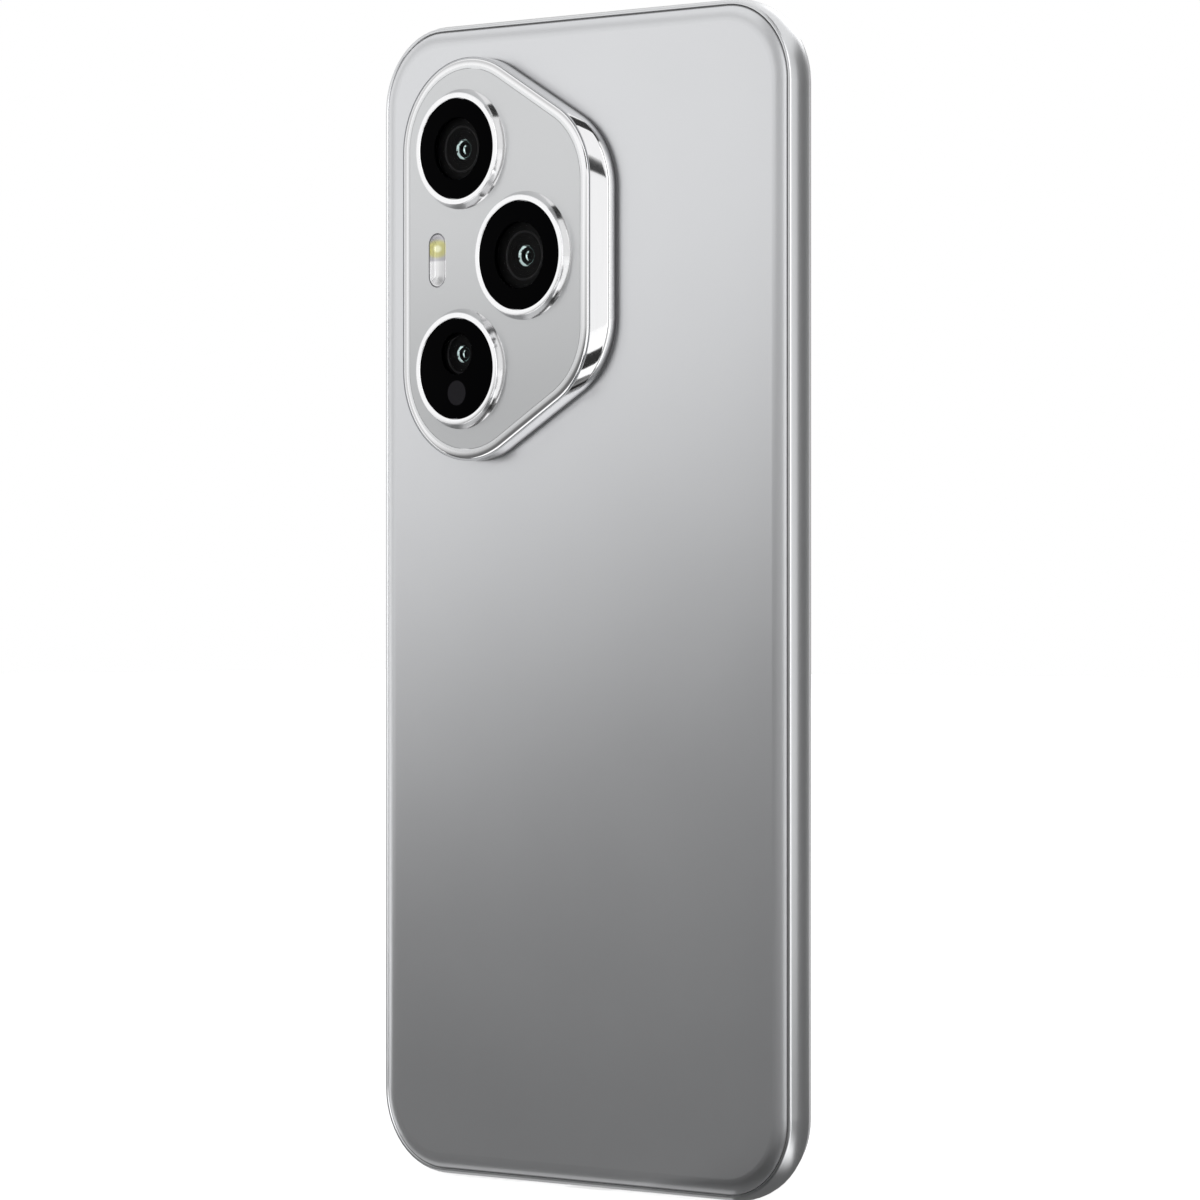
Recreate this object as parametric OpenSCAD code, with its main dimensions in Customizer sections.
// Smartphone with glass front and back, a raised camera island, side buttons and a SIM tray.
// Each piece is drawn lying face up: x to the right, y to the top edge, z up from the flat of the back.
// stand() then sets the phone on its bottom edge, with the display towards -Y.

/* [Body] */
// Width across the frame, without the buttons
phone_width = 76.1; // [75:0.1:79]
// Height from the bottom edge to the top edge
phone_height = 160.8; // [159:0.1:166]
// Thickness from the flat back to the display
phone_thickness = 8.1; // [8.1:0.1:8.5]
// Corner radius of the outline
corner_radius = 11.5; // [11:0.1:12.5]

/* [Back edge] */
// Inset from the outline where the back starts to curve
back_flat_inset = 3.1; // [3:0.1:3.4]
// Inset of the back glass's rim
back_rim_inset = 0.95; // [0.9:0.05:1]
// Drop of the back glass at its rim
back_drop = 0.72; // [0.68:0.02:0.8]
// Thickness of the back glass
back_glass = 0.6; // [0.5:0.05:0.65]
// Thickness of the glue under the back glass
back_glue_depth = 0.1; // [0.08:0.02:0.12]
// Width of the glue under the back glass, as an angle of its curve
back_glue_angle = 22; // [18:1:23]
// Free angle between the glass's rim and the frame's lip
back_seam_angle = 1.4; // [1:0.1:2]

/* [Frame] */
// Radius of the frame's side in section
side_radius = 5; // [4.6:0.1:5.5]
// Height of the widest point above the back
side_level = 2.6; // [2.5:0.1:2.8]
// Height of the lip round the back glass
lip_level = 0.62; // [0.6:0.02:0.66]
// Rounding of the lip
lip_round = 0.35; // [0.25:0.05:0.4]
// Inset of the rim's inner wall
rim_inset = 2.4; // [2.3:0.1:2.4]
// Inset where the display ledge ends
ledge_inset = 2.6; // [2.5:0.1:2.7]
// Distance of the display ledge from the display's face
ledge_from_face = 3.7; // [3.6:0.1:3.8]
// Thickness of the display ledge
ledge_thickness = 0.5; // [0.4:0.1:0.5]
// Inset of the wall that carries the mid plate
wall_inset = 4; // [3.8:0.1:4.2]
// Chamfer between the wall and the mid plate's face
wall_chamfer = 0.65; // [0.6:0.05:0.7]
// Thickness of the mid plate
plate_thickness = 0.6; // [0.5:0.1:0.6]

/* [Display] */
// Inset where the front glass starts to curve
front_flat_inset = 5.5; // [5.4:0.1:5.8]
// Radius of the front glass's edge
front_radius = 5.2; // [5.1:0.1:5.3]
// Thickness of the front glass
front_glass = 0.6; // [0.55:0.05:0.6]
// Thickness of the glue under the front glass's rim
display_glue_depth = 0.1; // [0.08:0.02:0.12]
// Width of the glue under the front glass's rim
display_glue_width = 0.5; // [0.4:0.1:0.5]
// Thickness of the clear adhesive behind the front glass
clear_adhesive_depth = 0.05; // [0.05:0.01:0.06]
// Thickness of the display panel
panel_thickness = 0.7; // [0.6:0.05:0.7]
// Angle at which the panel's bent edge ends, above level
panel_edge_angle = 38; // [36:1:42]
// Thickness of the cushion behind the panel
cushion_thickness = 0.25; // [0.2:0.05:0.3]
// Thickness of the graphite sheet
graphite_thickness = 0.1; // [0.08:0.02:0.12]
// Thickness of the vapour chamber
chamber_thickness = 0.4; // [0.35:0.05:0.4]
// Inset of the cushion and the graphite sheet
cushion_inset = 8; // [7.5:0.5:9]
// Corner radius of the vapour chamber
chamber_corner = 3; // [2:0.5:4]
// Width of the vapour chamber
chamber_width = 54; // [50:1:56]
// Length of the vapour chamber
chamber_length = 88; // [80:1:90]
// Distance of the vapour chamber from the top edge
chamber_from_top = 22; // [20:1:24]
// Side of the fingerprint sensor
finger_size = 9; // [8:0.5:10]
// Corner radius of the fingerprint sensor
finger_corner = 1.5; // [1:0.1:2]
// Thickness of the fingerprint sensor
finger_thickness = 0.6; // [0.5:0.05:0.6]
// Distance of the fingerprint sensor from the bottom edge
finger_from_bottom = 28; // [26:1:32]

/* [Front camera] */
// Distance of the front camera from the top edge
selfie_from_top = 10.4; // [10:0.1:11]
// Distance between the front camera's two lenses
selfie_pitch = 5.4; // [5:0.1:5.6]
// Radius of the front camera's lenses
selfie_radius = 2; // [1.8:0.1:2.2]
// Length of the front camera's housing
selfie_length = 12; // [11.5:0.1:12.4]
// Width of the front camera's housing
selfie_width = 6.2; // [5.8:0.1:6.4]
// Height of the front camera's housing
selfie_height = 2.8; // [2.6:0.1:3]
// Corner radius of the front camera's housing
selfie_corner = 0.5; // [0.4:0.1:0.6]
// Radius of the front camera's pupils
selfie_pupil = 0.7; // [0.6:0.1:0.8]
// Radius of the hoods before the pupils
selfie_hood = 1.4; // [1.3:0.1:1.5]
// Depth of the hoods
selfie_hood_depth = 0.7; // [0.6:0.1:0.8]
// Flange at each end of the front camera
selfie_flange = 1.3; // [1.1:0.1:1.5]

/* [Camera island] */
// Distance of the large corners' centres from the phone's side
island_from_side = 19.75; // [19.6:0.05:20.2]
// Distance of the island's middle from the top edge
island_from_top = 33.1; // [33:0.1:34]
// Distance of the large corners' centres from the middle
island_reach = 15.2; // [15:0.1:15.5]
// Radius of the large corners at the top edge
island_corner = 12.5; // [12.4:0.1:12.8]
// Radius of the small corners
island_tip = 11.5; // [11.3:0.1:11.7]
// Distance across to the small corners at the top edge
edge_across = 11.13; // [11:0.01:11.3]
// Distance of the small corners from the middle at the top edge
edge_reach = 9.95; // [9.8:0.05:10.1]
// Distance across to the small corners at the foot
foot_across = 13.85; // [13.6:0.05:14]
// Distance of the small corners from the middle at the foot
foot_reach = 8.6; // [8.4:0.1:8.8]
// Draft of the island's wall
island_draft = 0.2; // [0.1:0.05:0.3]
// Height of the upright foot
foot_height = 1.25; // [1.1:0.05:1.4]
// Height of the island's edge
edge_height = 2.5; // [2.4:0.05:2.6]
// Width of the polished bevel
bevel_width = 1.3; // [1.2:0.05:1.4]
// Rise of the polished bevel
bevel_rise = 0.3; // [0.25:0.05:0.35]
// Steps in the bevel's rounding
bevel_steps = 5; // [3:1:6]
// Width of the ledge under the camera plate
plate_ledge = 0.9; // [0.8:0.1:1]
// Thickness of the camera plate
camera_plate_thickness = 0.6; // [0.5:0.05:0.6]

/* [Lenses] */
// Distance of the outer lenses from the middle, up and down
lens_reach = 15.25; // [15.2:0.05:15.4]
// Offset of the outer lenses towards the phone's side
lens_out = 1.1; // [1:0.1:1.2]
// Offset of the middle lens away from the phone's side
lens_in = 10.8; // [10.6:0.1:11]
// Radius of the outer lens glasses
lens_radius = 7; // [6.9:0.1:7.1]
// Radius of the middle lens glass
middle_lens_radius = 7.5; // [7.4:0.1:7.6]
// Width of a lens ring's top
ring_width = 0.8; // [0.7:0.1:0.9]
// Height of a lens ring over the plate
ring_height = 1.15; // [1.1:0.05:1.25]
// Flare at a ring's foot
ring_flare = 0.5; // [0.45:0.05:0.55]
// Height of the flare's toe
flare_toe = 0.1; // [0.08:0.02:0.14]
// Height of the seat under a lens glass
glass_seat = 0.4; // [0.35:0.05:0.45]
// Width of the seat under a lens glass
seat_width = 0.8; // [0.7:0.1:0.9]
// Thickness of a lens glass
lens_glass_thickness = 0.6; // [0.5:0.05:0.65]
// Wall of a ring's neck in the plate
neck_wall = 0.35; // [0.3:0.05:0.4]
// Side of an outer camera's housing
housing_side = 13; // [12.6:0.1:13.2]
// Side of the middle camera's housing
middle_housing_side = 13.5; // [13:0.1:13.6]
// Corner radius of a camera's housing
housing_corner = 1.2; // [1:0.1:1.4]
// Height of a camera's housing
housing_height = 4.6; // [4.4:0.1:4.7]
// Floor of a camera's housing
housing_floor = 1; // [0.9:0.1:1.1]
// Radius of an outer camera's barrel
barrel_radius = 4.7; // [4.5:0.1:4.9]
// Radius of the middle camera's barrel
middle_barrel_radius = 5.1; // [5:0.1:5.2]
// Room between a barrel and its lens glass beyond the autofocus stroke
barrel_room = 0.45; // [0.4:0.05:0.6]
// Radius of a barrel's front element
element_radius = 2.6; // [2.4:0.1:2.8]
// Depth of the hood in front of the element
hood_depth = 0.8; // [0.7:0.1:0.9]
// Rise of the front element
element_rise = 0.35; // [0.3:0.05:0.4]
// Autofocus stroke
focus_stroke = 0.3; // [0.2:0.05:0.35]

/* [Flash] */
// Offset of the flash towards the phone's side
flash_out = 5.8; // [5.6:0.1:6]
// Width of the flash window
flash_width = 3.2; // [3:0.1:3.4]
// Length of the flash window
flash_length = 7.5; // [7.2:0.1:7.8]
// Flange under the flash window
flash_flange = 0.5; // [0.4:0.1:0.6]
// Thickness of the flash window's flange
flash_flange_depth = 0.45; // [0.4:0.05:0.5]
// Distance of the flash LED and of the colour sensor from the window's middle
flash_chip_reach = 1.6; // [1.5:0.1:1.8]
// Side of the flash LED and of the colour sensor
flash_chip = 2.1; // [1.9:0.1:2.3]
// Height of the flash LED and of the colour sensor
flash_chip_height = 0.4; // [0.3:0.1:0.5]
// Thickness of the flash board
flash_board_thickness = 0.3; // [0.25:0.05:0.35]

/* [Battery and coil] */
// Length of the top zone that holds the boards and cameras
top_zone = 60; // [59.5:0.1:60.5]
// Length of the bottom zone
bottom_zone = 18.4; // [18.2:0.1:18.8]
// Gap at each end of the battery
battery_gap = 0.6; // [0.5:0.1:0.8]
// Width of the lane for the main flex beside the battery
flex_lane = 6.6; // [6.4:0.1:7]
// Space behind the battery for the charging coil
battery_from_back = 1.35; // [1.3:0.05:1.4]
// Corner radius of the battery
battery_corner = 1.5; // [1:0.1:2]
// Thickness of the ferrite sheet
ferrite_thickness = 0.25; // [0.2:0.05:0.25]
// Side of the ferrite sheet
ferrite_size = 50; // [48:1:52]
// Corner radius of the ferrite sheet
ferrite_corner = 3; // [2:0.5:4]
// Thickness of the charging coil
coil_thickness = 0.2; // [0.15:0.05:0.25]
// Inner radius of the charging coil
coil_inner = 11; // [10:0.5:12]
// Pitch of the coil's turns
coil_pitch = 1.6; // [1.5:0.1:1.7]
// Width of a turn
coil_turn = 1.3; // [1.2:0.1:1.4]
// Turns in the coil
coil_turns = 7; // [6:1:7]

/* [Boards] */
// Gap between the boards and the cavity's wall
board_gap = 0.5; // [0.4:0.1:0.6]
// Thickness of the boards
board_thickness = 0.8; // [0.7:0.1:0.8]
// Height of the room in front of the main board
board_room = 1.2; // [1.1:0.1:1.3]
// Distance of the main board from the battery
board_from_battery = 2.8; // [2.6:0.1:2.8]
// Gap between the main board and the middle camera
board_camera_gap = 1; // [0.8:0.1:1.2]
// Length of the main board
board_length = 46.5; // [46:0.5:47]
// Length of the board's arm under the lower camera
arm_length = 6; // [5.6:0.1:6.2]
// Height of the shield on the board's back
shield_height = 1.5; // [1.4:0.1:1.6]
// Wall of the shield on the board's back
shield_wall = 0.3; // [0.25:0.05:0.35]
// Margin from the board's edge to the shields
shield_margin = 5; // [4.8:0.1:5.2]
// Distance of the shields from the board's lower edge
shield_from_end = 9; // [8.5:0.5:9.5]
// Thickness of the board cover
cover_thickness = 0.6; // [0.5:0.1:0.7]
// Distance of the screw bosses from the board's edges
boss_margin = 2.6; // [2.5:0.1:2.7]
// Distance of the lower bosses from the board's lower edge
boss_from_end = 11; // [10.5:0.5:11.5]
// Radius of a boss's shoulder
shoulder_radius = 2; // [1.9:0.1:2.1]
// Radius of a boss's stem
stem_radius = 1.35; // [1.3:0.05:1.4]
// Thickness of the flexes
flex_thickness = 0.2; // [0.15:0.05:0.2]
// Width of the main flex
main_flex_width = 4.6; // [4:0.1:5]
// Overlap of the main flex with the boards
flex_overlap = 5; // [4.5:0.5:5]
// Length of a board connector
connector_length = 3.6; // [3.2:0.1:4]
// Width of the battery flex
battery_flex_width = 8; // [7:0.5:9]
// Height of the battery's connector
battery_connector = 0.8; // [0.7:0.1:0.9]

/* [Screws] */
// Radius of a screw's shank
screw_radius = 0.7; // [0.6:0.05:0.7]
// Radius of a screw's head
screw_head = 1.2; // [1.1:0.05:1.25]
// Height of a screw's head
screw_head_height = 0.5; // [0.4:0.05:0.5]
// Width of the slots in a screw's head
screw_slot = 0.3; // [0.25:0.05:0.35]
// Length of the slots in a screw's head
screw_slot_length = 1.7; // [1.5:0.1:1.8]
// Depth of the slots in a screw's head
screw_slot_depth = 0.25; // [0.2:0.05:0.3]
// Distance of the sub board's left screw from the board's side
sub_screw_side = 3.4; // [3.2:0.1:3.6]
// Distance of the sub board's left screw from the board's upper end
sub_screw_low = 8.8; // [8.6:0.1:9]
// Distance of the sub board's right screw from the board's corner
sub_screw_corner = 1.7; // [1.6:0.1:1.8]

/* [USB port] */
// Height of the port's centre above the back
usb_level = 2.8; // [2.75:0.05:2.85]
// Width of the port's opening
usb_width = 8.34; // [8.3:0.02:8.4]
// Height of the port's opening
usb_height = 2.56; // [2.52:0.02:2.6]
// Wall of the port's shell
usb_wall = 0.3; // [0.25:0.05:0.3]
// Length of the port's shell
usb_length = 7; // [6.8:0.1:7.4]
// Width of the port's tongue
tongue_width = 6.69; // [6.6:0.03:6.75]
// Thickness of the port's tongue
tongue_thickness = 0.7; // [0.6:0.1:0.7]
// Distance of the tongue's tip from the shell's mouth
tongue_recess = 0.6; // [0.5:0.1:0.8]

/* [Speaker and microphones] */
// Distance of the speaker from the phone's centre line
speaker_from_centre = 9.5; // [9.3:0.1:10]
// Length of the speaker along the phone
speaker_length = 9.8; // [9.4:0.1:10]
// Distance of the speaker from the back
speaker_from_back = 1; // [0.9:0.1:1.1]
// Number of speaker holes
speaker_holes = 6; // [4:1:6]
// Pitch of the speaker holes
speaker_pitch = 2.3; // [2.2:0.1:2.4]
// Radius of a speaker hole
speaker_hole_radius = 0.65; // [0.55:0.05:0.7]
// Distance of the first speaker hole from the centre line
speaker_hole_start = 13.5; // [13:0.1:14]
// Thickness of the speaker mesh
mesh_thickness = 0.2; // [0.15:0.05:0.2]
// Height of the speaker's snout
snout_height = 2; // [1.8:0.1:2.1]
// Margin of the snout round the holes
snout_margin = 1.2; // [1.1:0.1:1.3]
// Radius of a microphone hole
mic_radius = 0.45; // [0.4:0.05:0.5]
// Distance of the bottom microphone from the centre line
mic_from_centre = 7.2; // [7:0.1:7.4]
// Side of a microphone
mic_size = 2.4; // [2.2:0.1:2.5]
// Distance of the top microphone from the centre line
top_mic_from_centre = 9.5; // [9.4:0.1:10]
// Distance of the earpiece from the centre line
earpiece_from_centre = 10; // [9.6:0.1:10.4]
// Width of the earpiece
earpiece_width = 14; // [13:0.5:14.5]
// Length of the earpiece along the phone
earpiece_length = 7; // [6.6:0.1:7.2]
// Height of the earpiece
earpiece_height = 2.8; // [2.6:0.1:3]
// Width of the earpiece's outlet
outlet_width = 10; // [9:0.5:11]
// Height of the earpiece's outlet
outlet_height = 0.5; // [0.4:0.1:0.5]

/* [Vibration motor] */
// Length of the motor
motor_length = 20; // [19:0.5:20.5]
// Width of the motor
motor_width = 6.4; // [6.2:0.1:6.6]
// Height of the motor
motor_height = 3.8; // [3.6:0.1:4]
// Wall of the motor's case
motor_wall = 0.3; // [0.25:0.05:0.35]
// Distance of the motor from the centre line
motor_from_centre = 11; // [10.6:0.1:11.4]
// Gap round the sliding mass
mass_gap = 0.3; // [0.25:0.05:0.35]
// Stroke of the mass each way
mass_stroke = 0.5; // [0.4:0.1:0.6]
// Room at each end of the mass beyond its stroke
mass_room = 0.7; // [0.6:0.1:0.9]
// Radius of the guide shaft
shaft_radius = 0.5; // [0.4:0.05:0.55]

/* [Buttons] */
// Distance of the power button's middle from the top edge
power_from_top = 72.5; // [72:0.5:73]
// Length of the power button
power_length = 10.5; // [10:0.5:11]
// Distance of the volume rocker's middle from the top edge
volume_from_top = 50.5; // [50:0.5:51]
// Length of the volume rocker
volume_length = 21; // [20:0.5:21.5]
// Width of the buttons
button_width = 2.2; // [2:0.1:2.2]
// How far the buttons stand out of the frame
button_proud = 0.45; // [0.4:0.05:0.5]
// Chamfer of the buttons' faces
button_chamfer = 0.15; // [0.1:0.05:0.2]
// Flange of a button behind the rim
button_flange = 0.6; // [0.5:0.1:0.6]
// Thickness of the flange
flange_thickness = 0.5; // [0.45:0.05:0.5]
// Gap between the power button's flange and the rim
power_gap = 0.05; // [0.04:0.01:0.08]
// Gap between the volume rocker's flange and the rim
volume_gap = 0.3; // [0.28:0.02:0.34]
// Inset of the button flex's face
button_flex_inset = 3.55; // [3.54:0.01:3.58]
// Thickness of the button flex and its stiffener
button_flex_thickness = 0.3; // [0.25:0.05:0.3]
// Radius of a dome switch
dome_radius = 1; // [0.9:0.1:1.1]
// Height of the power button's dome
power_dome = 0.3; // [0.26:0.02:0.3]
// Height of the volume rocker's domes
volume_dome = 0.15; // [0.1:0.05:0.15]
// Distance of the volume domes from the rocker's middle
dome_reach = 7.5; // [7:0.5:8]

/* [SIM tray] */
// Distance of the tray's face from the centre line
sim_from_centre = 18.5; // [18.3:0.1:18.7]
// Length of the tray's face
sim_face_length = 15; // [14.8:0.1:15.2]
// Width of the tray's face
sim_face_width = 2; // [1.9:0.1:2]
// Thickness of the tray's face
sim_face_thickness = 1.1; // [1:0.05:1.1]
// Width of the tray
tray_width = 10.4; // [10.2:0.1:10.5]
// Thickness of the tray
tray_thickness = 1.4; // [1.3:0.1:1.4]
// Inset of the tray's inner end
tray_inset = 15.2; // [15:0.1:15.2]
// Offset of the tray from the middle of its face
tray_offset = 1.5; // [1.4:0.1:1.6]
// Length of the card pocket
card_length = 12.4; // [12.3:0.05:12.4]
// Width of the card pocket
card_width = 8.9; // [8.85:0.05:9]
// Depth of the card pocket
card_depth = 0.55; // [0.5:0.05:0.6]
// Corner radius of the card pocket
card_corner = 1; // [0.8:0.1:1.2]
// Thickness of the seal
seal_thickness = 0.2; // [0.15:0.05:0.25]
// Width of the seal
seal_width = 0.25; // [0.2:0.05:0.25]
// Offset of the eject hole from the middle of the face
eject_offset = 5.9; // [5.8:0.05:6]
// Radius of the eject hole
eject_radius = 0.45; // [0.4:0.05:0.5]
// Width of the eject rod
rod_width = 1.2; // [1.1:0.1:1.3]
// Stroke of the eject rod
rod_stroke = 1; // [0.8:0.1:1]
// Distance of the lever's pivot from the rod
lever_arm = 3.9; // [3.8:0.1:4]
// Reach of the lever beyond its pivot
lever_reach = 7.4; // [7:0.1:7.4]
// Width of the lever
lever_width = 1.4; // [1.3:0.1:1.4]
// Thickness of the lever
lever_thickness = 0.6; // [0.5:0.1:0.7]
// Radius of the lever's pivot
pivot_radius = 0.45; // [0.4:0.05:0.45]
// Gap between the rod and the lever at rest
lever_gap = 0.12; // [0.1:0.02:0.14]
// Inset of the lever's middle
lever_inset = 18.4; // [18.4:0.1:18.6]
// Wall of the SIM reader
reader_wall = 0.6; // [0.5:0.1:0.6]
// Roof of the SIM reader
reader_roof = 0.3; // [0.25:0.05:0.3]

/* [Clearances] */
// Gap round a piece that slides in a bore
running_gap = 0.05; // [0.04:0.01:0.06]
// Gap round the buttons and the tray's face in their slots
slot_gap = 0.1; // [0.08:0.01:0.1]
// Gap between fitted pieces that do not move
fit_gap = 0.05; // [0.04:0.01:0.06]
// Gap round the moving pieces inside the SIM reader
reader_gap = 0.2; // [0.15:0.05:0.2]

/* [Fineness] */
// Facets of a full circle
facets = 96; // [64:8:128]
// Facets of the island's outline
island_facets = 144; // [96:16:160]

/* [Hidden] */
$fn = facets;

// A thin layer of a loft, and the overrun of a cut
layer = 0.01;
over = 1;

half_width = phone_width / 2;
half_height = phone_height / 2;

// Levels above the flat back, from the display inwards
glass_in = phone_thickness - front_glass;
panel_front = glass_in - clear_adhesive_depth;
panel_back = panel_front - panel_thickness;
cushion_back = panel_back - cushion_thickness;
graphite_back = cushion_back - graphite_thickness;
plate_front = graphite_back - chamber_thickness;
plate_back = plate_front - plate_thickness;
ledge_level = phone_thickness - ledge_from_face;
ledge_back = ledge_level - ledge_thickness;
front_centre = phone_thickness - front_radius;
glass_end = ledge_level + display_glue_depth;

// Curve of the back glass
back_run = back_flat_inset - back_rim_inset;
back_radius = (back_run * back_run + back_drop * back_drop) / (2 * back_drop);
back_angle = asin(back_run / back_radius);
back_seat = back_radius - back_glass - back_glue_depth;

// Rounding of the frame's lip
lip_centre_z = lip_level + lip_round;
lip_centre_x = sqrt(pow(side_radius - lip_round, 2) - pow(side_level - lip_centre_z, 2)) - side_radius;
lip_normal = [lip_centre_x + side_radius, lip_centre_z - side_level] / (side_radius - lip_round);

// Camera island
island_x = half_width - island_from_side;
island_y = half_height - island_from_top;
deck = edge_height + bevel_rise;
island_top = deck + ring_height;
upper_lens = [island_x + lens_out, island_y + lens_reach];
lower_lens = [island_x + lens_out, island_y - lens_reach];
middle_lens = [island_x - lens_in, island_y];
flash_spot = [island_x + flash_out, island_y];
barrel_front = focus_stroke + barrel_room - deck - glass_seat;
barrel_back = plate_back - housing_floor - running_gap;

// Layout of the cavity
cavity_x = half_width - wall_inset;
cavity_y = half_height - wall_inset;
battery_bottom = bottom_zone + battery_gap - cavity_y;
battery_left = flex_lane - cavity_x;
battery_right = cavity_x - battery_gap;
ferrite_back = battery_from_back - ferrite_thickness;
selfie_y = half_height - selfie_from_top;
selfie_face = plate_front - fit_gap;
selfie_barrel = panel_front - fit_gap - selfie_face;
finger_y = finger_from_bottom - half_height;

// Main board, which ends below the front camera and the earpiece; the battery starts below it
board_front = plate_back - board_room;
board_back = board_front - board_thickness;
board_left = board_gap - cavity_x;
board_right = middle_lens[0] - middle_housing_side / 2 - board_camera_gap;
board_head = min(selfie_y - selfie_width / 2, cavity_y - board_gap - earpiece_length) - board_gap;
board_bottom = min(cavity_y - top_zone - battery_gap + board_from_battery, board_head - board_length);
board_top = board_bottom + board_length;
battery_top = board_bottom - board_from_battery;
coil_y = (battery_top + battery_bottom) / 2;
arm_right = cavity_x - board_gap;
shield_back = board_back - shield_height;
cover_back = shield_back - cover_thickness;
bosses = [
    [board_left + boss_margin, board_top - boss_margin],
    [board_right - boss_margin, board_top - boss_margin],
    [board_left + boss_margin, board_bottom + boss_from_end],
    [board_right - boss_margin, board_bottom + boss_from_end]
];

// The bosses grow out of the plate's middle, and their bores stop short of its face
boss_root = plate_front - plate_thickness / 2;
bore_end = plate_front - plate_thickness / 3;

// Bottom zone
usb_mouth = rim_inset + slot_gap;
sub_back = usb_level + usb_height / 2 + usb_wall;
sub_front = sub_back + board_thickness;
sub_left = board_gap - cavity_x;
sub_right = speaker_from_centre - 2 * board_gap;
sub_bottom = board_gap - cavity_y;
sub_top = bottom_zone - 2 * board_gap - cavity_y;
speaker_right = cavity_x - board_gap;
speaker_bottom = board_gap - cavity_y;
speaker_top = speaker_bottom + speaker_length;
speaker_seat = speaker_from_back + screw_head_height;
speaker_screws = [
    [speaker_from_centre + 2 * screw_head, speaker_top - 2 * screw_head],
    [speaker_right - 2 * screw_head, speaker_top - 2 * screw_head]
];
snout_room = half_width - corner_radius - (speaker_holes - 1) * speaker_pitch - snout_margin;
first_hole = min(speaker_hole_start, snout_room);
snout_start = first_hole - snout_margin;
snout_end = first_hole + (speaker_holes - 1) * speaker_pitch + snout_margin;
motor_bottom = speaker_top + board_gap;

// SIM tray, on the straight part of the bottom edge, and its reader
sim_x = -min(sim_from_centre, half_width - corner_radius - sim_face_length / 2);
sim_level = side_level;
tray_x = sim_x - tray_offset;
rod_x = sim_x + eject_offset;
tray_end = tray_inset - half_height;
lever_y = lever_inset - half_height;
lever_x = rod_x - lever_arm;
face_back = sim_face_thickness - half_height;
reader_y0 = rim_inset + slot_gap - half_height;
lever_tip = lever_arm + rod_width / 2;
lever_swing = rod_stroke * lever_tip / lever_arm;
reader_y1 = lever_y + lever_width / 2 + lever_swing + reader_gap + reader_wall;
reader_x0 = tray_x - tray_width / 2 - reader_gap - reader_wall;
reader_x1 = rod_x + rod_width / 2 + reader_gap + reader_wall;
tunnel_back = sim_level - tray_thickness / 2 - reader_gap;
tunnel_front = sim_level + tray_thickness / 2 + reader_gap;
sub_screws = [
    [min(sub_left + sub_screw_side, reader_x0 - screw_head - board_gap), sub_top - sub_screw_low],
    [sub_right - sub_screw_corner, sub_top - sub_screw_corner]
];
rod_end = lever_y - lever_width / 2 - lever_gap;
mic_x = max(-mic_from_centre, reader_x1 + mic_size / 2 + fit_gap);

// Buttons
power_y = half_height - power_from_top;
volume_y = half_height - volume_from_top;
flex_x = half_width - button_flex_inset;

// Sets a lying piece upright, centred on the origin in plan
module stand() {
    translate([0, (phone_thickness - island_top) / 2, half_height])
        rotate([90, 0, 0])
            children();
}

module rounded_rect(width, height, radius) {
    square([width - 2 * radius, height], center = true);
    square([width, height - 2 * radius], center = true);
    for (x = [-1, 1], y = [-1, 1])
        translate([x * (width / 2 - radius), y * (height / 2 - radius)])
            circle(radius);
}

module stadium(length, width) {
    square([length - width, width], center = true);
    for (x = [-1, 1])
        translate([x * (length - width) / 2, 0])
            circle(width / 2);
}

// The phone's outline, drawn in by an inset
module outline(inset) {
    rounded_rect(phone_width - 2 * inset, phone_height - 2 * inset, corner_radius - inset);
}

module slab(low, high) {
    translate([0, 0, low])
        linear_extrude(high - low)
            children();
}

module block(x0, x1, y0, y1, z0, z1) {
    translate([x0, y0, z0])
        cube([x1 - x0, y1 - y0, z1 - z0]);
}

// Sweeps an edge section round the outline; the section's x is 0 at the outline and negative inside
module sweep_edge() {
    long = phone_height - 2 * corner_radius;
    short = phone_width - 2 * corner_radius;
    for (turn = [0, 180]) {
        rotate(turn)
            translate([half_width, 0, 0])
                rotate([90, 0, 0])
                    linear_extrude(long, center = true)
                        children();
        rotate(turn + 90)
            translate([half_height, 0, 0])
                rotate([90, 0, 0])
                    linear_extrude(short, center = true)
                        children();
    }
    for (corner = [[1, 1, 0], [-1, 1, 90], [-1, -1, 180], [1, -1, 270]])
        translate([corner[0] * short / 2, corner[1] * long / 2, 0])
            rotate(corner[2])
                rotate_extrude(angle = 90)
                    translate([corner_radius, 0])
                        children();
}

// A ring sector about the back curve's centre, between two angles from the flat
module back_sector(from, to, outer, inner) {
    reach = 2 * outer;
    translate([-back_flat_inset, back_radius])
        intersection() {
            difference() {
                circle(outer);
                circle(inner);
            }
            polygon([[0, 0], reach * [sin(from), -cos(from)], reach * [sin(to), -cos(to)]]);
        }
}

// A ring sector about the front curve's centre, from an angle above level up to the flat
module front_sector(from, outer, inner) {
    reach = 2 * outer;
    translate([-front_flat_inset, front_centre])
        intersection() {
            difference() {
                circle(outer);
                circle(inner);
            }
            polygon([[0, 0], reach * [cos(from), sin(from)], [reach, reach], [0, reach]]);
        }
}

module lip_cut() {
    translate([lip_centre_x, lip_centre_z])
        difference() {
            polygon([
                [0, 0],
                3 * lip_round * lip_normal,
                [3 * lip_round, -2 * lip_round],
                [0, -2 * lip_round]
            ]);
            circle(lip_round);
        }
}

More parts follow.
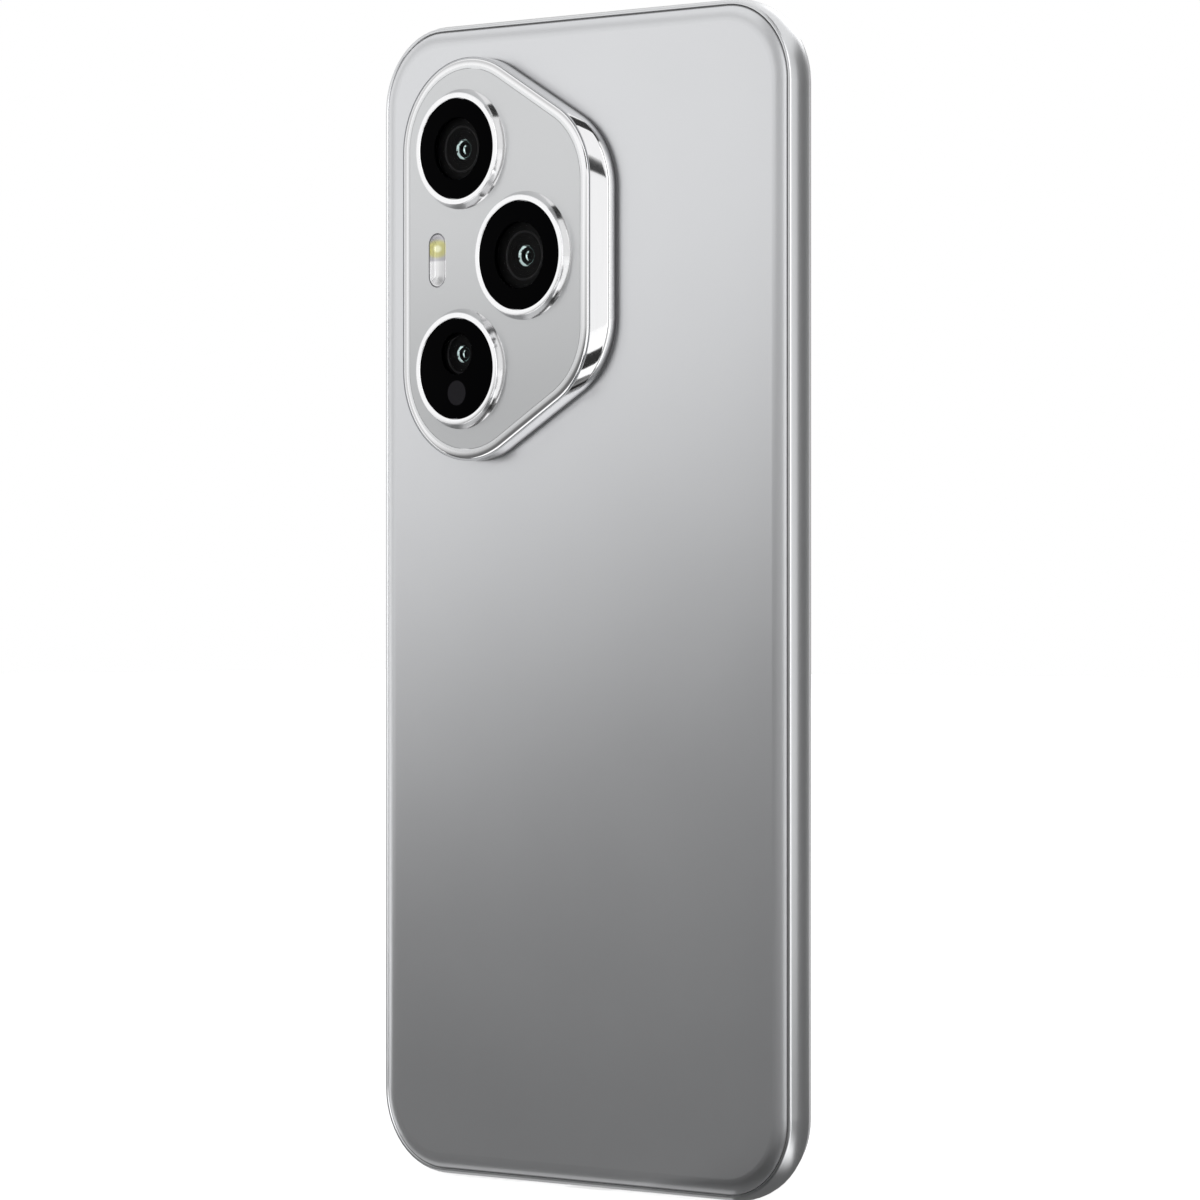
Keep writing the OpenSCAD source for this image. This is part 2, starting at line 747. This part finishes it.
module frame_section() {
    difference() {
        intersection() {
            translate([-side_radius, side_level])
                circle(side_radius);
            translate([-rim_inset, lip_level])
                square([rim_inset + over, ledge_level - lip_level]);
        }
        back_sector(0, back_angle + back_seam_angle, 2 * back_radius, back_seat);
        lip_cut();
    }
    polygon([
        [-rim_inset + ledge_thickness, ledge_back],
        [-wall_inset, ledge_back],
        [-wall_inset, plate_front],
        [-ledge_inset - wall_chamfer, plate_front],
        [-ledge_inset, plate_front - wall_chamfer],
        [-ledge_inset, ledge_level],
        [-rim_inset + ledge_thickness, ledge_level]
    ]);
}

// A hole along y through the bottom rim, at a level above the back
module bottom_hole(x, level, from, to) {
    translate([x, from - half_height, level])
        rotate([-90, 0, 0])
            linear_extrude(to - from)
                children();
}

// A round hole through the bottom or top rim, at the rim's widest level
module rim_bore(x, from, radius) {
    bottom_hole(x, side_level, from - over, from + rim_inset + over)
        circle(radius);
}

// A hole along x through the right rim
module side_hole(y, from, to) {
    translate([half_width - from, y, side_level])
        rotate([90, 0, -90])
            linear_extrude(to - from)
                children();
}

module bosses_solid() {
    for (spot = bosses)
        translate(spot) {
            translate([0, 0, board_front])
                cylinder(r = shoulder_radius, h = boss_root - board_front);
            translate([0, 0, shield_back])
                cylinder(r = stem_radius, h = board_front + board_room / 2 - shield_back);
        }
    for (spot = sub_screws)
        translate([spot[0], spot[1], sub_front])
            cylinder(r = shoulder_radius, h = boss_root - sub_front);
}

module boss_bores() {
    bore = screw_radius + fit_gap;
    for (spot = bosses)
        translate([spot[0], spot[1], shield_back - over])
            cylinder(r = bore, h = bore_end - shield_back + over);
    for (spot = concat(sub_screws, speaker_screws))
        translate([spot[0], spot[1], sub_back])
            cylinder(r = bore, h = bore_end - sub_back);
}

module button_slot(y, length) {
    side_hole(y, -over, rim_inset + over)
        stadium(length + 2 * slot_gap, button_width + 2 * slot_gap);
}

module mid_frame() {
    color("#8f9194")
        stand()
            difference() {
                union() {
                    sweep_edge() frame_section();
                    slab(plate_back, plate_front) outline(wall_inset);
                    bosses_solid();
                }
                boss_bores();
                button_slot(power_y, power_length);
                button_slot(volume_y, volume_length);
                bottom_hole(0, usb_level, -over, rim_inset + over)
                    stadium(usb_width + 2 * fit_gap, usb_height + 2 * fit_gap);
                block(
                    -usb_width / 2 - 2 * usb_wall, usb_width / 2 + 2 * usb_wall,
                    rim_inset - half_height, -cavity_y + over,
                    usb_level, sub_back + slot_gap
                );
                bottom_hole(sim_x, sim_level, -over, sim_face_thickness + seal_thickness + fit_gap)
                    stadium(sim_face_length + 2 * slot_gap, sim_face_width + 2 * slot_gap);
                bottom_hole(tray_x, sim_level, 0, rim_inset + over)
                    square([tray_width, tray_thickness] + 2 * [reader_gap, slot_gap], center = true);
                bottom_hole(rod_x, sim_level, 0, rim_inset + over)
                    circle(eject_radius + slot_gap);
                block(
                    reader_x0 - fit_gap, reader_x1 + fit_gap,
                    rim_inset - half_height, -cavity_y + over,
                    sim_level, sub_back + slot_gap
                );
                for (hole = [0:speaker_holes - 1])
                    rim_bore(first_hole + hole * speaker_pitch, 0, speaker_hole_radius);
                rim_bore(mic_x, 0, mic_radius);
                rim_bore(top_mic_from_centre, phone_height - rim_inset, mic_radius);
                translate([0, selfie_y, 0])
                    slab(plate_back - over, plate_front + over)
                        square([selfie_length, selfie_width] + 4 * [fit_gap, fit_gap], center = true);
                block(
                    -earpiece_from_centre - (earpiece_width + outlet_width) / 2,
                    -earpiece_from_centre - (earpiece_width - outlet_width) / 2,
                    cavity_y - over, half_height - ledge_inset + over,
                    plate_back - outlet_height, plate_back
                );
            }
}

// Outline of the island: two large corners by the phone's side and two small ones across
module island_outline(grow, across, reach) {
    hull()
        for (up = [-1, 1]) {
            translate([island_x, island_y + up * island_reach])
                circle(island_corner + grow, $fn = island_facets);
            translate([island_x - across, island_y + up * reach])
                circle(island_tip + grow, $fn = island_facets);
        }
}

module island_edge(grow) {
    island_outline(grow, edge_across, edge_reach);
}

module island_foot() {
    island_outline(island_draft, foot_across, foot_reach);
}

module back_cover() {
    color("#a9acb0")
        stand()
            difference() {
                union() {
                    sweep_edge() back_sector(0, back_angle, back_radius, back_radius - back_glass);
                    slab(0, back_glass) outline(back_flat_inset);
                }
                slab(-over, back_glass + over) island_edge(-bevel_width - plate_ledge - slot_gap);
            }
}

module back_glue() {
    color("#2b2b2e")
        stand()
            sweep_edge()
                back_sector(back_angle - back_glue_angle, back_angle, back_seat + back_glue_depth, back_seat);
}

module display_glass() {
    start = asin((glass_end - front_centre) / front_radius);
    color("#15161a")
        stand() {
            sweep_edge()
                difference() {
                    front_sector(start / 2, front_radius, front_radius - front_glass);
                    translate([-front_radius, glass_end - front_radius])
                        square([2 * front_radius, front_radius]);
                }
            slab(glass_in, phone_thickness) outline(front_flat_inset);
        }
}

module selfie_window(grow) {
    translate([0, selfie_y])
        stadium(selfie_pitch + 2 * (selfie_radius + grow), 2 * (selfie_radius + grow));
}

module finger_window(grow) {
    translate([0, finger_y])
        rounded_rect(finger_size + 2 * grow, finger_size + 2 * grow, finger_corner);
}

module clear_adhesive() {
    color("#dfe5ea")
        stand()
            slab(panel_front, glass_in)
                difference() {
                    outline(front_flat_inset);
                    selfie_window(2 * slot_gap);
                }
}

module display_panel() {
    outer = front_radius - front_glass - clear_adhesive_depth;
    color("#101114")
        stand()
            difference() {
                union() {
                    sweep_edge() front_sector(panel_edge_angle, outer, outer - panel_thickness);
                    slab(panel_back, panel_front) outline(front_flat_inset);
                }
                slab(panel_back - over, panel_front + over) selfie_window(2 * slot_gap);
            }
}

module display_cushion() {
    color("#3a3b3d")
        stand()
            slab(cushion_back, panel_back)
                difference() {
                    outline(cushion_inset);
                    selfie_window(over);
                    finger_window(2 * slot_gap);
                }
}

module graphite_sheet() {
    color("#55575a")
        stand()
            slab(graphite_back, cushion_back)
                difference() {
                    outline(cushion_inset);
                    selfie_window(over);
                    finger_window(2 * slot_gap);
                }
}

module vapour_chamber() {
    middle = half_height - chamber_from_top - chamber_length / 2;
    color("#b87446")
        stand()
            translate([0, middle, 0])
                slab(plate_front, graphite_back)
                    rounded_rect(chamber_width, chamber_length, chamber_corner);
}

module display_glue() {
    outer = sqrt(pow(front_radius, 2) - pow(glass_end - front_centre, 2)) - front_flat_inset;
    color("#1f1f21")
        stand()
            difference() {
                sweep_edge()
                    translate([outer - display_glue_width - fit_gap, ledge_level])
                        square([display_glue_width, display_glue_depth]);
                block(
                    -earpiece_from_centre - (earpiece_width + outlet_width) / 2,
                    -earpiece_from_centre - (earpiece_width - outlet_width) / 2,
                    cavity_y, half_height + over,
                    ledge_back, glass_end + over
                );
            }
}

module fingerprint_sensor() {
    color("#23262b")
        stand()
            slab(panel_back - finger_thickness, panel_back)
                finger_window(0);
}

module front_camera() {
    color("#1b1c1e")
        stand()
            translate([0, selfie_y, 0]) {
                slab(selfie_face - selfie_height, selfie_face)
                    rounded_rect(selfie_length, selfie_width, selfie_corner);
                slab(plate_back - plate_thickness, plate_back)
                    rounded_rect(selfie_length + 2 * selfie_flange, selfie_width, selfie_corner);
                for (side = [-1, 1])
                    translate([side * selfie_pitch / 2, 0, selfie_face - layer])
                        difference() {
                            cylinder(r = selfie_radius, h = selfie_barrel);
                            translate([0, 0, selfie_barrel - selfie_hood_depth])
                                cylinder(r1 = selfie_pupil, r2 = selfie_hood, h = selfie_hood_depth);
                        }
            }
}

// The shell is lofted from the upright foot, over the wide slanted facet, to the rounded bevel
module island_body() {
    hull() {
        slab(-foot_height, 0) island_foot();
        for (step = [0:bevel_steps]) {
            turn = 90 * step / bevel_steps;
            level = -edge_height - bevel_rise * sin(turn);
            slab(level, level + layer) island_edge(-bevel_width * (1 - cos(turn)));
        }
    }
}

module camera_bezel() {
    color("#c9cbce")
        stand()
            difference() {
                island_body();
                slab(-deck - over, over) island_edge(-bevel_width - plate_ledge);
                slab(-deck - over, camera_plate_thickness - deck) island_edge(-bevel_width);
            }
}

module lens_holes(grow) {
    translate(upper_lens) circle(lens_radius + grow);
    translate(lower_lens) circle(lens_radius + grow);
    translate(middle_lens) circle(middle_lens_radius + grow);
}

module camera_plate() {
    color("#b4b6b9")
        stand()
            slab(-deck, camera_plate_thickness - deck)
                difference() {
                    island_edge(-bevel_width - fit_gap);
                    lens_holes(neck_wall + fit_gap);
                    flash_plan(fit_gap);
                }
}

// Revolves a section about a lens axis; the section's y is the height over the plate
module over_plate(spot) {
    translate([spot[0], spot[1], -deck])
        mirror([0, 0, 1])
            rotate_extrude()
                children();
}

module ring_section(radius) {
    outer = radius + ring_width;
    translate([radius, 0])
        square([ring_width, ring_height]);
    translate([radius - seat_width, 0])
        square([seat_width, glass_seat]);
    translate([radius - seat_width, -camera_plate_thickness])
        square([seat_width + neck_wall, camera_plate_thickness]);
    difference() {
        translate([outer, 0])
            square([ring_flare, ring_flare + flare_toe]);
        translate([outer + ring_flare, ring_flare + flare_toe])
            circle(ring_flare);
    }
}

module lens_ring(spot, radius) {
    color("#d3d5d8")
        stand()
            over_plate(spot) ring_section(radius);
}

module lens_ring_upper() {
    lens_ring(upper_lens, lens_radius);
}

module lens_ring_middle() {
    lens_ring(middle_lens, middle_lens_radius);
}

module lens_ring_lower() {
    lens_ring(lower_lens, lens_radius);
}

module lens_glass(spot, radius) {
    color("#08090a")
        stand()
            over_plate(spot)
                translate([0, glass_seat])
                    square([radius - fit_gap, lens_glass_thickness]);
}

module lens_glass_upper() {
    lens_glass(upper_lens, lens_radius);
}

module lens_glass_middle() {
    lens_glass(middle_lens, middle_lens_radius);
}

module lens_glass_lower() {
    lens_glass(lower_lens, lens_radius);
}

module flash_plan(grow) {
    translate(flash_spot)
        rotate(90)
            stadium(flash_length + 2 * grow, flash_width + 2 * grow);
}

// Levels of the flash stack, from the window inwards
flash_seat = camera_plate_thickness - deck;
flash_under = flash_seat + flash_flange_depth;
flash_base = flash_under + flash_chip_height;

module flash_window() {
    color("#f1efe6")
        stand() {
            slab(-deck, flash_seat + layer) flash_plan(0);
            slab(flash_seat, flash_under) flash_plan(flash_flange);
        }
}

module flash_chip_at(up) {
    translate(flash_spot)
        translate([0, up * flash_chip_reach])
            slab(flash_under, flash_base)
                square(flash_chip, center = true);
}

module flash_led() {
    color("#e8d35a")
        stand()
            flash_chip_at(1);
}

module colour_sensor() {
    color("#e9ecef")
        stand()
            flash_chip_at(-1);
}

module flash_board() {
    color("#4a3b24")
        stand()
            translate(flash_spot)
                slab(flash_base, flash_base + flash_board_thickness)
                    rounded_rect(flash_width, flash_length, flash_flange);
}

module camera(spot, side, radius) {
    back = plate_back - housing_height;
    color("#2e2f31")
        stand()
            translate(spot)
                difference() {
                    slab(back, plate_back) rounded_rect(side, side, housing_corner);
                    translate([0, 0, back - over])
                        cylinder(r = radius + running_gap, h = housing_height - housing_floor + over);
                }
}

module camera_upper() {
    camera(upper_lens, housing_side, barrel_radius);
}

module camera_middle() {
    camera(middle_lens, middle_housing_side, middle_barrel_radius);
}

module camera_lower() {
    camera(lower_lens, housing_side, barrel_radius);
}

// A barrel with a conical hood and a domed front element; the section's y runs out of the back
module barrel_section(radius) {
    hood = radius - ring_width;
    seat = -barrel_front - hood_depth;
    dome = (element_radius * element_radius + element_rise * element_rise) / (2 * element_rise);
    polygon([
        [0, -barrel_back],
        [radius, -barrel_back],
        [radius, -barrel_front],
        [hood, -barrel_front],
        [element_radius, seat],
        [0, seat]
    ]);
    intersection() {
        translate([0, seat + element_rise - dome])
            circle(dome);
        translate([0, seat - element_rise])
            square([element_radius, 3 * element_rise]);
    }
}

module barrel(spot, radius) {
    color("#111214")
        stand()
            translate(spot)
                mirror([0, 0, 1])
                    rotate_extrude()
                        barrel_section(radius);
}

module barrel_upper() {
    barrel(upper_lens, barrel_radius);
}

module barrel_middle() {
    barrel(middle_lens, middle_barrel_radius);
}

module barrel_lower() {
    barrel(lower_lens, barrel_radius);
}

module battery() {
    color("#3c3d40")
        stand()
            translate([(battery_left + battery_right) / 2, coil_y, 0])
                slab(battery_from_back, plate_back)
                    rounded_rect(
                        battery_right - battery_left, battery_top - battery_bottom, battery_corner
                    );
}

module battery_flex() {
    left = board_left + shield_margin;
    end = board_bottom + connector_length + 2 * battery_gap;
    color("#7a5a22")
        stand() {
            block(
                left, left + battery_flex_width, battery_top, end,
                board_back - flex_thickness, board_back
            );
            block(
                left + battery_gap, left + battery_flex_width - battery_gap,
                end - connector_length, end - battery_gap,
                board_back - flex_thickness - battery_connector, board_back - flex_thickness
            );
        }
}

module coil_ferrite() {
    color("#26272a")
        stand()
            translate([0, coil_y, 0])
                slab(ferrite_back, battery_from_back)
                    rounded_rect(ferrite_size, ferrite_size, ferrite_corner);
}

module charging_coil() {
    color("#b5713c")
        stand()
            translate([0, coil_y, ferrite_back - coil_thickness])
                rotate_extrude()
                    for (turn = [0:coil_turns - 1])
                        translate([coil_inner + turn * coil_pitch, 0])
                            square([coil_turn, coil_thickness]);
}

module board_plan() {
    translate([board_left, board_bottom])
        square([board_right - board_left, board_length]);
    translate([board_left, board_bottom])
        square([arm_right - board_left, arm_length]);
}

module main_board() {
    color("#1d4a34")
        stand() {
            difference() {
                slab(board_back, board_front) board_plan();
                for (spot = bosses)
                    translate([spot[0], spot[1], board_back - over])
                        cylinder(r = stem_radius + fit_gap, h = board_thickness + 2 * over);
            }
            block(
                board_left, board_left + main_flex_width,
                board_bottom + board_gap, board_bottom + board_gap + connector_length,
                board_front, plate_back - flex_thickness
            );
        }
}

// Plan of the shields, drawn in by a wall
module shield_plan(wall) {
    side = shield_margin + wall;
    translate([board_left + side, board_bottom + shield_from_end + wall])
        square([board_right - board_left - 2 * side, board_length - shield_from_end - side - wall]);
}

module shield_back() {
    color("#b9bcc0")
        stand()
            difference() {
                slab(shield_back, board_back) shield_plan(0);
                slab(shield_back + shield_wall, board_back + over) shield_plan(shield_wall);
            }
}

module shield_front() {
    color("#b9bcc0")
        stand()
            slab(board_front, plate_back - fit_gap) shield_plan(0);
}

module board_cover() {
    color("#2a2b2d")
        stand()
            difference() {
                slab(cover_back, shield_back)
                    translate([board_left, board_bottom + shield_from_end])
                        square([board_right - board_left, board_length - shield_from_end]);
                for (spot = bosses)
                    translate([spot[0], spot[1], cover_back - over])
                        cylinder(r = screw_radius + fit_gap, h = cover_thickness + 2 * over);
            }
}

module main_flex() {
    color("#80602a")
        stand()
            slab(plate_back - flex_thickness, plate_back)
                translate([board_left, sub_top - flex_overlap])
                    square([main_flex_width, board_bottom + flex_overlap - sub_top + flex_overlap]);
}

module sub_board() {
    color("#1d4a34")
        stand()
            difference() {
                slab(sub_back, sub_front)
                    intersection() {
                        translate([sub_left, sub_bottom])
                            square([sub_right - sub_left, sub_top - sub_bottom]);
                        outline(wall_inset + board_gap);
                    }
                for (spot = sub_screws)
                    translate([spot[0], spot[1], sub_back - over])
                        cylinder(r = screw_radius + fit_gap, h = board_thickness + 2 * over);
            }
}

module usb_port() {
    inner_end = usb_mouth + usb_length;
    color("#c2c4c6")
        stand() {
            bottom_hole(0, usb_level, usb_mouth, inner_end - 2 * usb_wall)
                difference() {
                    stadium(usb_width + 2 * usb_wall, usb_height + 2 * usb_wall);
                    stadium(usb_width, usb_height);
                }
            bottom_hole(0, usb_level, inner_end - 2 * usb_wall, inner_end)
                stadium(usb_width + 2 * usb_wall, usb_height + 2 * usb_wall);
            bottom_hole(0, usb_level, usb_mouth + tongue_recess, inner_end - usb_wall)
                square([tongue_width, tongue_thickness], center = true);
        }
}

module speaker() {
    color("#232427")
        stand()
            difference() {
                union() {
                    slab(speaker_from_back, plate_back)
                        intersection() {
                            translate([speaker_from_centre, speaker_bottom])
                                square([speaker_right - speaker_from_centre, speaker_length]);
                            outline(wall_inset + board_gap);
                        }
                    block(
                        snout_start, snout_end,
                        usb_mouth + mesh_thickness - half_height, speaker_bottom + over,
                        side_level - snout_height / 2, side_level + snout_height / 2
                    );
                }
                block(
                    snout_start + usb_wall, snout_end - usb_wall,
                    -half_height, speaker_bottom + over,
                    side_level - snout_height / 2 + usb_wall, side_level + snout_height / 2 - usb_wall
                );
                for (spot = speaker_screws)
                    translate([spot[0], spot[1], 0]) {
                        cylinder(r = screw_radius + fit_gap, h = phone_thickness);
                        cylinder(r = screw_head + fit_gap, h = speaker_seat);
                    }
            }
}

module speaker_mesh() {
    color("#3b3c3f")
        stand()
            block(
                snout_start, snout_end,
                usb_mouth - half_height, usb_mouth + mesh_thickness - half_height,
                side_level - snout_height / 2, side_level + snout_height / 2
            );
}

module earpiece() {
    right = -earpiece_from_centre;
    top = cavity_y - board_gap;
    color("#2a2b2e")
        stand()
            slab(plate_back - earpiece_height, plate_back)
                translate([right - earpiece_width / 2, top - earpiece_length / 2])
                    rounded_rect(earpiece_width, earpiece_length, housing_corner);
}

module mic_bottom() {
    color("#b08d3e")
        stand()
            block(
                mic_x - mic_size / 2, mic_x + mic_size / 2,
                sub_bottom + board_gap, sub_bottom + board_gap + mic_size,
                side_level + mic_radius, sub_back
            );
}

module mic_top() {
    color("#1c1d1f")
        stand()
            block(
                top_mic_from_centre - mic_size / 2, top_mic_from_centre + mic_size / 2,
                cavity_y - board_gap - mic_size, cavity_y - board_gap,
                side_level - 2 * mic_radius, plate_back
            );
}

// Middle of the motor, and the length of its mass
motor_x = min(motor_from_centre + motor_length, cavity_x - board_gap) - motor_length / 2;
motor_y = motor_bottom + motor_width / 2;
motor_level = plate_back - motor_height / 2;
mass_inset = motor_wall + mass_gap;
mass_length = motor_length - 2 * (motor_wall + mass_room + mass_stroke);

module motor_shaft(radius, length) {
    translate([motor_x - length / 2, motor_y, motor_level])
        rotate([0, 90, 0])
            cylinder(r = radius, h = length);
}

module motor_case() {
    color("#c6c8ca")
        stand() {
            difference() {
                block(
                    motor_x - motor_length / 2, motor_x + motor_length / 2,
                    motor_bottom, motor_bottom + motor_width,
                    plate_back - motor_height, plate_back
                );
                block(
                    motor_x - motor_length / 2 + motor_wall, motor_x + motor_length / 2 - motor_wall,
                    motor_bottom + motor_wall, motor_bottom + motor_width - motor_wall,
                    plate_back - motor_height + motor_wall, plate_back + over
                );
            }
            motor_shaft(shaft_radius, motor_length - motor_wall);
        }
}

module motor_mass() {
    color("#77797d")
        stand()
            difference() {
                block(
                    motor_x - mass_length / 2, motor_x + mass_length / 2,
                    motor_bottom + mass_inset, motor_bottom + motor_width - mass_inset,
                    plate_back - motor_height + mass_inset, plate_back - mass_gap
                );
                motor_shaft(shaft_radius + running_gap, motor_length);
            }
}

// A cap in the rim with a flange behind it; gap is the flange's distance from the rim
module button(y, length, gap) {
    color("#97999c")
        stand() {
            difference() {
                side_hole(y, -button_proud, rim_inset + gap + layer)
                    stadium(length, button_width);
                for (side = [-1, 1])
                    translate([half_width + button_proud, y, side_level + side * button_width / 2])
                        rotate([0, 45, 0])
                            cube([button_chamfer, length + over, button_chamfer] * sqrt(2), center = true);
            }
            side_hole(y, rim_inset + gap, rim_inset + gap + flange_thickness)
                square([length + 2 * button_flange, button_width], center = true);
        }
}

module power_button() {
    button(power_y, power_length, power_gap);
}

module volume_rocker() {
    button(volume_y, volume_length, volume_gap);
}

module dome(y, height) {
    side_hole(y, button_flex_inset - height, button_flex_inset + layer)
        circle(dome_radius);
}

module button_flex() {
    low = power_y - power_length / 2;
    high = volume_y + volume_length / 2;
    tail = board_bottom + arm_length / 2;
    pivot = button_flex_inset - rim_inset - volume_gap - flange_thickness - layer;
    color("#7a5a22")
        stand() {
            block(
                flex_x - button_flex_thickness, flex_x, low, high,
                side_level - button_width / 2, ledge_back
            );
            dome(power_y, power_dome);
            dome(volume_y - dome_reach, volume_dome);
            dome(volume_y + dome_reach, volume_dome);
            block(
                flex_x - layer, flex_x + pivot, volume_y - pivot / 2, volume_y + pivot / 2,
                side_level - button_width / 2, side_level + button_width / 2
            );
            block(
                arm_right - flex_overlap, flex_x, tail - mic_size / 2, tail + mic_size / 2,
                board_back - flex_thickness, board_back
            );
        }
}

module sim_reader() {
    color("#b7babd")
        stand() {
            difference() {
                block(
                    reader_x0, reader_x1, reader_y0, reader_y1,
                    tunnel_back - reader_roof, sub_back
                );
                block(
                    tray_x - tray_width / 2 - reader_gap, tray_x + tray_width / 2 + reader_gap,
                    reader_y0 - over, lever_y, tunnel_back, tunnel_front
                );
                block(
                    rod_x - rod_width / 2 - reader_gap, rod_x + rod_width / 2 + reader_gap,
                    reader_y0 - over, lever_y,
                    sim_level - rod_width / 2 - reader_gap, sim_level + rod_width / 2
                );
                block(
                    reader_x0 + reader_wall, reader_x1 - reader_wall,
                    tray_end + reader_gap, reader_y1 - reader_wall, -over, tunnel_front
                );
            }
            translate([lever_x, lever_y, tunnel_back])
                cylinder(r = pivot_radius, h = tunnel_front - tunnel_back + layer);
        }
}

module sim_tray() {
    pocket_y = tray_end - reader_wall - card_length / 2;
    color("#97999c")
        stand()
            difference() {
                union() {
                    intersection() {
                        bottom_hole(sim_x, sim_level, -over, sim_face_thickness)
                            stadium(sim_face_length, sim_face_width);
                        translate([sim_x, side_radius + fit_gap / 2 - half_height, side_level])
                            rotate([0, 90, 0])
                                cylinder(r = side_radius, h = 2 * sim_face_length, center = true);
                    }
                    block(
                        tray_x - tray_width / 2, tray_x + tray_width / 2,
                        face_back - layer, tray_end,
                        sim_level - tray_thickness / 2, sim_level + tray_thickness / 2
                    );
                }
                for (face = [-1, 1])
                    translate([tray_x, pocket_y, sim_level + face * tray_thickness / 2])
                        linear_extrude(2 * card_depth, center = true)
                            rounded_rect(card_width, card_length, card_corner);
                bottom_hole(rod_x, sim_level, -over, sim_face_thickness + over)
                    circle(eject_radius);
            }
}

module sim_seal() {
    color("#8c2f24")
        stand()
            bottom_hole(tray_x, sim_level, sim_face_thickness, sim_face_thickness + seal_thickness)
                difference() {
                    square([tray_width, tray_thickness] + 2 * [seal_width, seal_width], center = true);
                    square([tray_width, tray_thickness], center = true);
                }
}

module eject_rod() {
    color("#a5a8ab")
        stand()
            block(
                rod_x - rod_width / 2, rod_x + rod_width / 2,
                reader_y0 + reader_gap, rod_end,
                sim_level - rod_width / 2, sim_level + rod_width / 2 - reader_gap
            );
}

module eject_lever() {
    low = sim_level - lever_thickness / 2;
    color("#a5a8ab")
        stand()
            difference() {
                slab(low, low + lever_thickness)
                    translate([lever_x + (lever_tip - lever_reach) / 2, lever_y])
                        stadium(lever_reach + lever_tip, lever_width);
                translate([lever_x, lever_y, low - over])
                    cylinder(r = pivot_radius + running_gap, h = lever_thickness + 2 * over);
            }
}

// A screw with a crossed head; level is the underside of its head
module screw(spot, level, length) {
    translate([spot[0], spot[1], level])
        difference() {
            union() {
                cylinder(r = screw_radius, h = length);
                translate([0, 0, -screw_head_height])
                    cylinder(r = screw_head, h = screw_head_height);
            }
            for (turn = [0, 90])
                rotate(turn)
                    translate([0, 0, -screw_head_height])
                        cube([screw_slot_length, screw_slot, 2 * screw_slot_depth], center = true);
        }
}

module screws_top() {
    color("#6f7174")
        stand()
            for (spot = bosses)
                screw(spot, cover_back, plate_back - cover_back);
}

module screws_bottom() {
    color("#6f7174")
        stand() {
            for (spot = sub_screws)
                screw(spot, sub_back, plate_back - sub_back);
            for (spot = speaker_screws)
                screw(spot, speaker_seat, plate_back - speaker_seat);
        }
}

mid_frame();
back_cover();
back_glue();
display_glass();
clear_adhesive();
display_panel();
display_cushion();
graphite_sheet();
vapour_chamber();
display_glue();
fingerprint_sensor();
front_camera();
camera_bezel();
camera_plate();
lens_ring_upper();
lens_ring_middle();
lens_ring_lower();
lens_glass_upper();
lens_glass_middle();
lens_glass_lower();
flash_window();
flash_led();
colour_sensor();
flash_board();
camera_upper();
camera_middle();
camera_lower();
barrel_upper();
barrel_middle();
barrel_lower();
battery();
battery_flex();
coil_ferrite();
charging_coil();
main_board();
shield_back();
shield_front();
board_cover();
main_flex();
sub_board();
usb_port();
speaker();
speaker_mesh();
earpiece();
mic_bottom();
mic_top();
motor_case();
motor_mass();
power_button();
volume_rocker();
button_flex();
sim_reader();
sim_tray();
sim_seal();
eject_rod();
eject_lever();
screws_top();
screws_bottom();
